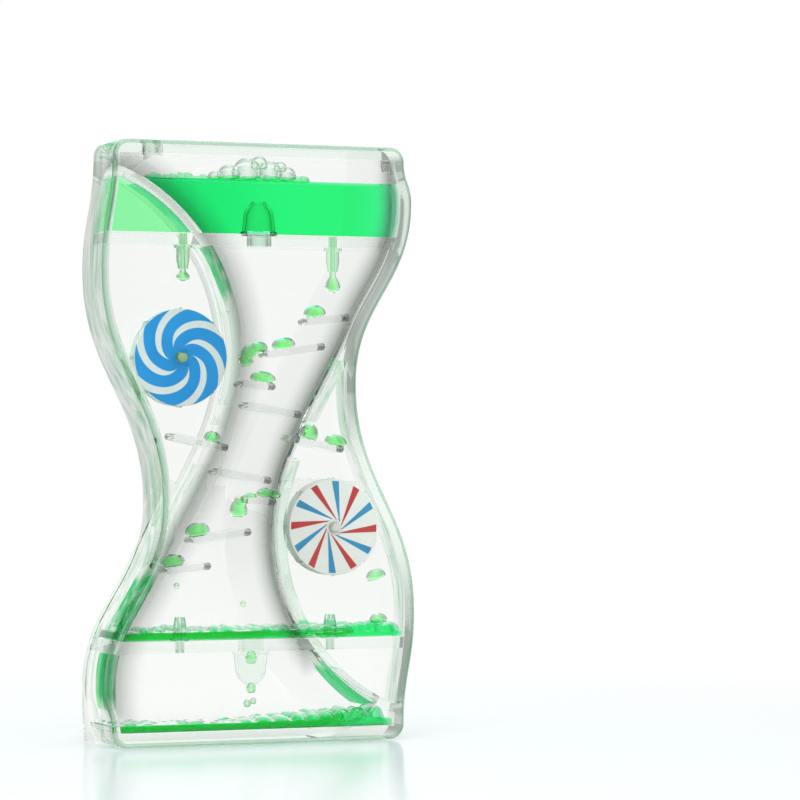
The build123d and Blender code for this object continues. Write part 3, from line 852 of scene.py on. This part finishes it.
upper_pin_finish = moulded_finish("yellow_green_pin", (0.30, 0.50, 0.20), (0.34, 0.55, 0.24), 0.4)
lower_pin_finish = moulded_finish("pale_pin", (0.70, 0.71, 0.66), (0.76, 0.77, 0.72), 0.4)
for place, name, finish in (
    (upper_wheel_place, "upper_axle_pin", upper_pin_finish),
    (lower_wheel_place, "lower_axle_pin", lower_pin_finish),
):
    pin = finished_with(lathed(name + "_turned", pin_profile, place, "Y", 40), (finish,))
    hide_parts(name)
    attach(pin, "casing")

# Wheels: a clear hub with eight thin clear paddles, which stand a little past the discs. Each turns
# freely on its pin.
paddles_on_hub = 8
paddle_start = 2.2
paddle_radius = 11.6127
paddle_run = paddle_radius - paddle_start
paddle_thickness = 0.9
hub_profile = [
    (1.32, -9.05), (2.4, -9.05), (2.5, -8.95), (2.5, -4.25), (2.4, -4.15), (1.32, -4.15), (1.32, -9.05),
]
paddle_finish = clear_finish("clear_plastic_paddle", (0.95, 0.98, 0.95), 1.02, 0.03)
for place, name in ((upper_wheel_place, "upper_wheel"), (lower_wheel_place, "lower_wheel")):
    paddles = block(
        name + "_paddles",
        (paddle_run, 4.9, paddle_thickness),
        (place[0] + paddle_start + paddle_run / 2, -6.6, place[1]),
        0.0,
    )
    rounded_along(paddles, 1, 0.3, 3)
    all_picked()
    for step in range(paddles_on_hub - 1):
        bpy.ops.mesh.duplicate()
        bpy.ops.transform.rotate(
            value=2 * math.pi / paddles_on_hub,
            orient_axis="Y",
            center_override=(place[0] * mm, 0.0, place[1] * mm),
        )
    bpy.ops.object.mode_set(mode="OBJECT")
    wheel = joined(lathed(name + "_moulded", hub_profile, place, "Y", 48), paddles, "UNION")
    bpy.ops.object.shade_smooth_by_angle(angle=turned_angle)
    finished_with(wheel, (paddle_finish,))
    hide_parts(name)
    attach(wheel, name)

# Discs: thin plastic discs cemented to both faces of each wheel and printed. The upper pair is blue with
# six pale curved arms, the lower pair pale with narrow blue and red wedges set off the centre.
disc_radius = 11.3127
disc_thickness = 0.6
disc_profile = [
    (1.3, 0.0), (disc_radius - 0.15, 0.0), (disc_radius, 0.15), (disc_radius, 0.45),
    (disc_radius - 0.15, disc_thickness), (1.3, disc_thickness), (1.3, 0.0),
]
repeats_per_radian = 6 / (2 * math.pi)
phase_start = 20.5
arm_curl = 11.5
first_arm = 8.0 * arm_curl + 10.9
first_wedge = 36.2
wedge_half_width = 0.08
wedge_offset = 1.55
wedge_inner = 1.9
wedge_outer = 10.85


def printed_finish(name, place):
    """The start of a printed finish: the print's radius in mm and its angle round a wheel's centre."""
    material, tree, shader = surfaced(name, {"Roughness": 0.32, "Specular IOR Level": 0.3})
    spot = added(tree, "TexCoord")
    centred = added(tree, "Mapping", {"Location": (-place[0] * mm, 0.0, -place[1] * mm)})
    parts = added(tree, "SeparateXYZ")
    wired(tree, (spot, "Object", centred, "Vector"), (centred, "Vector", parts, "Vector"))
    across, up = parts.outputs["X"], parts.outputs["Z"]
    squares = worked(
        tree, "ADD", worked(tree, "MULTIPLY", across, across), worked(tree, "MULTIPLY", up, up)
    )
    radius = worked(tree, "MULTIPLY", worked(tree, "SQRT", squares), 1000.0)
    return material, tree, shader, spot.outputs["Object"], radius, worked(tree, "ARCTAN2", up, across)


def clouded(tree, spot, scale, thin, full):
    """An ink that lies uneven, between a thin and a full tone."""
    cloud = added(tree, "TexNoise", {"Scale": scale, "Detail": 2.0})
    tree.links.new(spot, cloud.inputs["Vector"])
    return mixed(tree, cloud.outputs["Fac"], thin, full)


def from_middle(tree, phase):
    """How far a phase is from the middle of its repeat."""
    return worked(tree, "ABSOLUTE", worked(tree, "SUBTRACT", worked(tree, "FRACT", phase), 0.5))


def inked(tree, width, off, crispness):
    """Where ink lies: within a width from the middle of a stripe, with a crisp edge."""
    return clamped(worked(tree, "MULTIPLY_ADD", worked(tree, "SUBTRACT", width, off), crispness, 0.5))


swirl_finish, tree, shader, spot, radius, angle = printed_finish("swirl_print", upper_wheel_place)
arm_turn = worked(tree, "MULTIPLY_ADD", radius, math.radians(arm_curl), -math.radians(first_arm))
arm_phase = worked(
    tree, "MULTIPLY_ADD", worked(tree, "ADD", angle, arm_turn), repeats_per_radian, phase_start
)
arm_width = added(tree, "MapRange", {"From Min": 2.0, "From Max": 6.5, "To Min": -0.02, "To Max": 0.18})
arm_width.interpolation_type = "SMOOTHSTEP"
tree.links.new(radius, arm_width.inputs["Value"])
arm_share = inked(tree, arm_width.outputs["Result"], from_middle(tree, arm_phase), 40.0)
blue_ink = clouded(tree, spot, 130.0, (0.0, 0.28, 0.74), (0.015, 0.39, 0.88))
pale_ink = clouded(tree, spot, 300.0, (0.74, 0.83, 0.82), (0.84, 0.90, 0.88))
tree.links.new(mixed(tree, arm_share, blue_ink, pale_ink), shader.inputs["Base Color"])

wedge_finish, tree, shader, spot, radius, angle = printed_finish("wedge_print", lower_wheel_place)
skew = worked(tree, "ARCSINE", worked(tree, "MINIMUM", worked(tree, "DIVIDE", wedge_offset, radius), 1.0))
wedge_phase = worked(
    tree, "MULTIPLY_ADD", worked(tree, "ADD", angle, skew), repeats_per_radian,
    phase_start - math.radians(first_wedge) * repeats_per_radian,
)
blue_off = from_middle(tree, wedge_phase)
red_off = worked(tree, "SUBTRACT", 0.5, blue_off)
inside = worked(
    tree, "MULTIPLY",
    worked(tree, "GREATER_THAN", radius, wedge_inner), worked(tree, "LESS_THAN", radius, wedge_outer),
)
blue_share, red_share = [
    worked(tree, "MULTIPLY", inked(tree, wedge_half_width, off, 60.0), inside) for off in (blue_off, red_off)
]
blue_ink = clouded(tree, spot, 180.0, (0.01, 0.22, 0.50), (0.05, 0.38, 0.66))
red_ink = clouded(tree, spot, 180.0, (0.50, 0.012, 0.015), (0.68, 0.07, 0.07))
pale_ink = clouded(tree, spot, 300.0, (0.86, 0.89, 0.86), (0.92, 0.94, 0.92))
wedges = mixed(tree, red_share, mixed(tree, blue_share, pale_ink, blue_ink), red_ink)
tree.links.new(wedges, shader.inputs["Base Color"])

blank_finish = moulded_finish("blank_disc", (0.93, 0.95, 0.93), (0.97, 0.98, 0.97), 0.4)
on_print = 1
for where, place, finish, slot in (
    ("upper", upper_wheel_place, swirl_finish, "blue_print"),
    ("lower", lower_wheel_place, wedge_finish, "pale_print"),
):
    for side, front in (("front", wheel_front), ("rear", wheel_back - disc_thickness)):
        name = f"{where}_{side}_disc"
        section = [(radius, front + run) for radius, run in disc_profile]
        disc = finished_with(lathed(name + "_printed", section, place, "Y", 96), (blank_finish, finish))
        for face in disc.data.polygons:
            if face.normal.y * (1 if side == "rear" else -1) > 0.5:
                face.material_index = on_print
        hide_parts(name)
        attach(disc, where + "_wheel")

# Front cover: a flat hourglass plate of clear plastic, polished, with a small round along its front
# edge. It is welded to the rear shell all round, and two short bosses inside it hold the pins.
front_y = -13.5
cover_round = 1.0
seam = 0.02
cover = pulled_back(drawn_face("cover", casing_sides), front_y, cover_y - seam)
finished_with(cover, casing_finishes, on_outside)
for face in cover.data.polygons:
    if abs(face.normal.y) < 0.5:
        face.material_index = on_edge
    elif face.normal.y > 0.5:
        face.material_index = on_wetted
picked(
    cover,
    "EDGE",
    lambda edge: max(cover.data.vertices[number].co.y for number in edge.vertices) < (front_y + 0.1) * mm,
)
bpy.ops.mesh.bevel(offset=cover_round * mm, segments=5, affect="EDGES", clamp_overlap=False)
bpy.ops.object.mode_set(mode="OBJECT")
# The round gets the dark bevel finish, painted shade for the dark line along the front edge.
for face in cover.data.polygons:
    if 0.1 < -face.normal.y < 0.99:
        face.material_index = on_bevel
cover_boss_profile = [
    (0.0, cover_y - 0.5), (2.1, cover_y - 0.5), (2.1, wheel_front - 0.4), (1.9, wheel_front - 0.2),
    (0.0, wheel_front - 0.2),
]
for place in (upper_wheel_place, lower_wheel_place):
    boss = lathed("boss", cover_boss_profile, place, "Y", 40)
    joined(cover, finished_with(boss, casing_finishes, on_wetted), "UNION")
evened(cover, 40.0)
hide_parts("front_cover")
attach(cover, "casing")

# Ledges: ten sloping clear bars with round ends, moulded on the inside of the cover. Drops of dyed
# liquid roll down them from side to side. Their right-hand ends have a dark grey finish: painted shade.
ledge_depth = 9.5
ledges = [
    (12.0, 98.5, 22.75, 99.6),
    (2.0, 90.65, 16.5, 92.75),
    (-4.2, 83.8, 4.0, 83.1),
    (-3.0, 78.9, 10.5, 76.5),
    crossing_ledge,
]
ledge_finish = clear_finish("clear_plastic_ledge", (0.88, 0.90, 0.88), 1.34, 0.02)
ledge_end_shade_finish = clear_finish("painted_shade_ledge_end", (0.16, 0.17, 0.16), 1.34, 0.3)
with_values(ledge_end_shade_finish.node_tree.nodes["Principled BSDF"], {"Transmission Weight": 0.3})
for number, (left_x, left_z, right_x, right_z) in enumerate(ledges, 1):
    ledge = block(
        f"upper_ledge_{number}",
        (math.dist((left_x, left_z), (right_x, right_z)), ledge_depth, ledge_thickness),
        ((left_x + right_x) / 2, cover_y + ledge_depth / 2, (left_z + right_z) / 2),
        math.atan2(right_z - left_z, right_x - left_x),
    )
    rounded_along(ledge, 1, ledge_thickness / 2 - 0.01, 10)
    bpy.ops.object.shade_smooth_by_angle(angle=turned_angle)
    finished_with(ledge, (ledge_finish, ledge_end_shade_finish))
    for bar in (ledge, turned_copy(ledge, f"lower_ledge_{number}")):
        for face in bar.data.polygons:
            # Faces turned to the right get the dark end finish, which is painted shade.
            face.material_index = int(face.normal.x > 0.3)
        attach(bar, "casing")

# Filler plug: a small stepped plug pressed into the hole in the top wall after filling, with a dished
# face. It is of the same plastic as the casing.
plug_profile = [
    (0.0, 137.0), (2.2, 137.0), (2.4, 137.2), (2.4, 138.8), (2.45, 139.6), (2.25, 139.8), (1.7, 139.8),
    (1.5, 139.6), (1.2, 139.3), (0.0, 139.2),
]
plug_finish = clear_finish("clear_plastic_plug", (0.84, 0.92, 0.86), 1.12, 0.05)
plug = finished_with(lathed("plug", plug_profile, plug_place, "Z", 40), (plug_finish,))
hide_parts("filler_plug")
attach(plug, "casing")

# Upper pools: green dyed liquid that has still to drip, over the channel's plate and over the leaf's.
# It is heavier than the clear oil above it. Across the channel its green runs from deep to bright.
gap = 0.15
pool_low = plate_top + gap
pool_high = 131.4
pool_finish = dyed("dyed_liquid", 0.94, 165.0, (0.016, 0.994, 0.60), 0.02)
tree = pool_finish.node_tree
place = added(tree, "TexCoord")
parts = added(tree, "SeparateXYZ")
spread = added(tree, "MapRange", {"From Min": -0.026, "From Max": 0.040})
tone = ramped(
    tree,
    spread.outputs["Result"],
    (0.0, (0.45, 0.80, 0.84)), (0.28, (0.40, 0.90, 0.88)), (0.52, (0.75, 1.0, 1.0)), (0.72, white),
    (1.0, (0.90, 0.97, 0.94)),
)
tone.color_ramp.interpolation = "EASE"
wired(
    tree,
    (place, "Object", parts, "Vector"), (parts, "X", spread, "Value"),
    (tone, "Color", tree.nodes["Principled BSDF"], "Base Color"),
)
leaf_finish = dyed("dyed_liquid_shallow", 0.94, 120.0, (0.016, 0.994, 0.30), 0.02)
channel_pool = channel_piece(
    "channel_pool", side_wall + gap, cover_y + gap, rear_y - side_wall - gap, pool_low, pool_high
)
leaf_pool = leaf_piece("leaf_pool", side_wall + gap, gap, cover_y + gap, panel_y - gap, pool_low, pool_high)
for pool, name, finish in (
    (channel_pool, "upper_dyed_pool", pool_finish),
    (leaf_pool, "upper_leaf_pool", leaf_finish),
):
    evened(finished_with(pool, (finish,)), wall_angle)
    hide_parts(name)
    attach(pool, "casing")

# Lower layers and base pool: liquid that has come down. It lies in beads that have only half run
# together, so its surface is lumpy. The beads keep clear of the nozzles.
bead_profile = [
    (0.0, 0.0), (0.36, 0.0), (0.46, 0.1), (0.5, 0.32), (0.47, 0.55), (0.37, 0.8), (0.2, 0.95), (0.0, 1.0),
]
bead_master = lathed("bead_master", bead_profile, (0.0, 0.0), "Z", 20)
modified(bead_master, "SUBSURF", levels=1, render_levels=1)
bpy.ops.object.shade_smooth()


def bead_at(x, y, z, width, depth, tall, tilt=0.0):
    """A copy of the bead, stretched to its size and set down at its place."""
    chosen(bead_master)
    bpy.ops.object.duplicate()
    bead = bpy.context.object
    bead.location = (x * mm, y * mm, z * mm)
    bead.rotation_euler = (0.0, -tilt, 0.0)
    bead.scale = (width, depth, tall)
    bpy.ops.object.transform_apply(location=True, rotation=True, scale=True)
    return bead


def gathered(name, beads):
    """Several pieces made one."""
    chosen(beads[0])
    for bead in beads:
        bead.select_set(True)
    bpy.ops.object.join()
    beads[0].name = name
    return beads[0]


def run_together(piece, grain):
    """Lets touching beads flow into one skin."""
    modified(piece, "REMESH", mode="VOXEL", voxel_size=grain * mm)
    modified(piece, "SMOOTH", factor=0.5, iterations=5)
    bpy.ops.object.shade_smooth()
    return piece


chance = random.Random(7)
layer_finish = dyed("dyed_liquid_beads", 0.91, 360.0, (0.03, 0.93, 0.60), 0.02)
leaf_bead_finish = dyed("dyed_liquid_leaf_beads", 0.91, 460.0, (0.03, 0.985, 0.70), 0.02)
for finish in (layer_finish, leaf_bead_finish):
    with_values(finish.node_tree.nodes["Principled BSDF"], {"Base Color": (0.72, 0.97, 0.72, 1.0)})
bed_gap = 0.2
bed_inset = side_wall + gap + bed_gap
bed_front = cover_y + gap + bed_gap
bed_rear = rear_y - side_wall - gap - bed_gap
bed_grain = 0.3
layer_low = 24.0 + gap
lumps = [channel_piece("layer", bed_inset, bed_front, bed_rear, layer_low, layer_low + 2.1)]
for row in (-8.6, -4.2, 0.2, 4.6):
    x = -27.5
    while x < 24.5:
        size = chance.uniform(3.6, 5.4)
        spot = (x, row + chance.uniform(-0.5, 0.5))
        tall = chance.uniform(2.9, 3.6)
        if math.dist(spot, (-drip_place[0], drip_place[1])) > 1.7 + size / 2:
            lumps.append(bead_at(*spot, layer_low, size, size, tall))
        x += 0.82 * size
channel_layer = run_together(gathered("channel_layer", lumps), bed_grain)
lumps = [
    leaf_piece(
        "leaf_bed", bed_inset, gap + bed_gap, bed_front, panel_y - gap - bed_gap, layer_low, layer_low + 1.4
    )
]
for row in (-8.4, -4.0):
    x = 19.5
    while x < 34.5:
        size = chance.uniform(4.4, 6.2)
        spot = (x, row + chance.uniform(-0.4, 0.4))
        tall = chance.uniform(3.4, 4.3)
        if math.dist(spot, (-leaf_place[0], leaf_place[1])) > 1.4 + size / 2:
            lumps.append(bead_at(*spot, layer_low, size, 4.2, tall))
        x += 0.66 * size
leaf_layer = run_together(gathered("leaf_layer", lumps), bed_grain)
base_low = end_wall + gap
base_high = base_low + 1.8
lumps = [
    front_chamber("base_bed", bed_inset, bed_front, panel_y, base_low, base_high),
    channel_piece("base_rear", bed_inset, panel_y - hollow_lap, bed_rear, base_low, base_high),
]
for row in (-8.4, -4.0, 0.5, 5.0):
    x = -31.5
    while x < (31.0 if row < 0.0 else 25.0):
        size = chance.uniform(3.8, 5.6)
        rise = 1.0 + 2.6 * max(0.0, (x + 6.0) / 38.0)
        y = row + chance.uniform(-0.5, 0.5)
        lumps.append(bead_at(x, y, base_low, size, size, 1.4 + rise + chance.uniform(-0.3, 0.3)))
        x += 0.8 * size
base_pool = run_together(gathered("base_pool", lumps), bed_grain)
for liquid, name, finish in (
    (channel_layer, "lower_dyed_layer", layer_finish),
    (leaf_layer, "lower_leaf_layer", leaf_bead_finish),
    (base_pool, "base_dyed_pool", layer_finish),
):
    finished_with(liquid, (finish,))
    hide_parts(name)
    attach(liquid, "casing")

# Films: what dyed liquid leaves on the channel's walls: under the upper plate, low on the left side and
# where the base pool climbs the right toe. They are thin and streaky, fade out and cling to the plastic.
film_inset = side_wall + 0.1
film_pale = (0.97, 1.0, 0.97)
film_deep = (0.07, 0.66, 0.23)


def film(name, low, high, thickness, sag, kept, side, body, fade_start, fade_end):
    """A skin on the channel's inside between two heights, thicker by its sag under a sloping wall.

    It stays on one side of a place across the timer. Its body is how green it starts, and it fades
    from one height to another.
    """
    piece = front_chamber(name, film_inset, cover_y + 0.3, panel_y, low, high)
    core = outlined("core", drawn_in(channel_sides, film_inset + thickness), cover_y, panel_y)
    core.location.z = -sag * mm
    bpy.ops.object.transform_apply(location=True)
    sliced(joined(piece, core, "DIFFERENCE"), (kept, 0.0, 0.0), (-side, 0.0, 0.0))
    finish = clear_finish("dyed_liquid_" + name, (0.5, 0.9, 0.6), 1.02, 0.05)
    tree = finish.node_tree
    tone = streaked(finish, film_pale, film_deep, 0.36, 0.60)
    streak = tone.inputs["Fac"].links[0].from_socket
    spot = added(tree, "TexCoord")
    parts = added(tree, "SeparateXYZ")
    fade = added(
        tree,
        "MapRange",
        {"From Min": fade_start * mm, "From Max": fade_end * mm, "To Min": -body, "To Max": 0.4},
    )
    wired(tree, (spot, "Object", parts, "Vector"), (parts, "Z", fade, "Value"))
    tree.links.new(worked(tree, "SUBTRACT", streak, fade.outputs["Result"]), tone.inputs["Fac"])
    return evened(finished_with(piece, (finish,)), wall_angle)


for skin in (
    film("hanging_film", 95.0, 115.8, 0.4, 0.0, -2.0, -1.0, 0.04, 106.0, 96.0),
    film("left_film", 24.3, 48.0, 0.5, 0.0, -8.0, -1.0, 0.06, 36.0, 47.0),
    film("low_film", 5.0, 21.2, 0.5, 0.0, -8.0, -1.0, 0.06, 12.0, 4.0),
    film("toe_film", 8.4, 19.5, -2.0, 4.4, 14.0, 1.0, 0.24, 15.0, 20.0),
):
    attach(skin, "casing")

# Nozzle drips: a drop of dyed liquid that hangs by a thin neck from each upper tip, just before it lets
# go. The leaf's is the shorter.
tip = plate_low - nozzle_length
drop_finish = dyed("dyed_liquid_drop", 0.86, 290.0, (0.016, 0.98, 0.10), 0.0)
drips = []
for place, run, width in ((drip_place, 5.2, 1.9), (leaf_place, 3.0, 1.7)):
    drip_profile = [
        (0.0, tip - 0.05), (0.85, tip - 0.05), (0.75, tip - 0.12 * run), (0.8, tip - 0.24 * run),
        (0.55 * width + 0.4, tip - 0.4 * run), (0.93 * width, tip - 0.55 * run), (width, tip - 0.7 * run),
        (0.88 * width, tip - 0.85 * run), (0.5 * width, tip - 0.97 * run), (0.0, tip - run),
    ]
    drips.append(lathed("drip", drip_profile, place, "Z", 32))
drip_pair = finished_with(gathered("drip_pair", drips), (drop_finish,))
bpy.ops.object.shade_smooth()
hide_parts("nozzle_drips")
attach(drip_pair, "casing")

# Ledge beads: drops of dyed liquid that roll down the ledges, flattened where they lie on the plastic
# and tilted with it.
bead_y = -7.7
drops = [
    bead_at(14.86, bead_y, 99.5, 5.8, 5.2, 3.1, 0.1),
    bead_at(7.0, bead_y, 92.0, 6.2, 5.2, 2.9, 0.14),
    bead_at(1.6, bead_y, 84.1, 6.8, 5.2, 2.8, -0.09),
    bead_at(13.05, bead_y, 70.7, 4.6, 4.6, 4.0, -0.2),
    bead_at(19.9, bead_y, 69.2, 6.0, 5.0, 2.9, -0.2),
    bead_at(-11.2, bead_y, 70.1, 4.4, 4.6, 2.8, -0.2),
    bead_at(3.1, bead_y, 57.1, 6.4, 5.0, 2.5, -0.09),
    bead_at(-14.4, bead_y, 48.3, 6.4, 5.2, 3.4, 0.14),
    bead_at(-20.75, bead_y, 41.4, 6.6, 5.2, 3.0, 0.1),
]
ledge_drops = finished_with(gathered("ledge_drops", drops), (drop_finish,))
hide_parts("ledge_beads")
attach(ledge_drops, "casing")

# Loose drops: one bends over a ledge's end, one hangs from another, and small ones sink on their own
# or cling to the cover. All are of dyed liquid.
drop_grain = 0.2
sinking_profile = [(0.0, 0.0), (0.3, 0.07), (0.46, 0.28), (0.5, 0.5), (0.44, 0.76), (0.27, 1.0), (0.0, 1.1)]
bent_beads = [
    bead_at(0.6, bead_y, 90.9, 5.4, 4.8, 2.9, 0.25),
    bead_at(-1.0, bead_y, 89.6, 4.4, 4.6, 3.6, 0.6),
    bead_at(-2.2, bead_y, 87.9, 3.8, 4.4, 3.8, 0.3),
]
bent_drop = run_together(gathered("bent_drop", bent_beads), drop_grain)
hanging_beads = [
    bead_at(-4.4, bead_y, 52.6, 4.6, 4.6, 4.4),
    bead_at(-3.4, bead_y, 55.0, 3.4, 4.0, 2.8, 0.5),
    bead_at(-1.6, bead_y, 57.0, 3.8, 4.0, 1.5, 0.1),
]
hanging_drop = run_together(gathered("hanging_drop", hanging_beads), drop_grain)


def sinking_drop(x, y, z, size):
    """A small drop that sinks on its own, a little longer than wide."""
    section = [(size * radius, z + size * run) for radius, run in sinking_profile]
    drop = lathed("sinking", section, (x, y), "Z", 24)
    bpy.ops.object.shade_smooth()
    return drop


small_beads = [
    bead_at(30.2, cover_y + 1.9, 37.6, 5.2, 3.6, 2.7, 0.25),
    bead_at(30.6, cover_y + 1.9, 27.4, 4.6, 3.6, 2.4),
    sinking_drop(-3.9, cover_y + 0.75, 31.8, 1.4),
    sinking_drop(-20.3, cover_y + 0.75, 36.2, 1.4),
    sinking_drop(-0.9, -6.4, 18.2, 3.0),
    sinking_drop(-0.9, -6.4, 11.4, 2.4),
    sinking_drop(-1.9, -6.4, 8.2, 1.8),
    sinking_drop(-0.4, -6.6, 8.9, 1.5),
]
small_drops = gathered("small_drops", small_beads)
for drop in (bent_drop, hanging_drop, small_drops):
    finished_with(drop, (drop_finish,))
    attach(drop, "casing")

# Froth: air bubbles that have gathered on the upper pool's surface, and a lumpy green skin of dyed liquid
# that lies along it beside them.
bubbles = [
    bead_at(-2.4, -8.4, pool_high, 7.6, 5.4, 5.4),
    bead_at(3.2, -8.7, pool_high, 6.2, 4.6, 4.8),
    bead_at(-7.0, -8.6, pool_high, 5.8, 4.6, 3.6),
    bead_at(7.4, -8.5, pool_high, 5.0, 4.4, 3.6),
    bead_at(0.4, -9.2, pool_high + 2.6, 4.2, 3.2, 3.2),
    bead_at(-10.6, -8.8, pool_high, 3.6, 3.2, 2.0),
    bead_at(5.6, -9.6, pool_high + 2.2, 3.2, 2.6, 2.4),
]
froth_finish = clear_finish("froth", (0.84, 0.95, 0.88), 0.83, 0.0)
froth = finished_with(gathered("froth", bubbles), (froth_finish,))
lumps = []
x = -27.0
while x < 14.0:
    size = chance.uniform(1.8, 3.6)
    y = -9.2 + chance.uniform(-0.3, 0.3)
    lumps.append(bead_at(x, y, pool_high - 0.4, size, size, chance.uniform(1.2, 2.0)))
    x += 0.75 * size
skin = finished_with(run_together(gathered("skin", lumps), drop_grain), (layer_finish,))
for piece in (froth, skin):
    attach(piece, "casing")
bpy.data.objects.remove(bead_master)
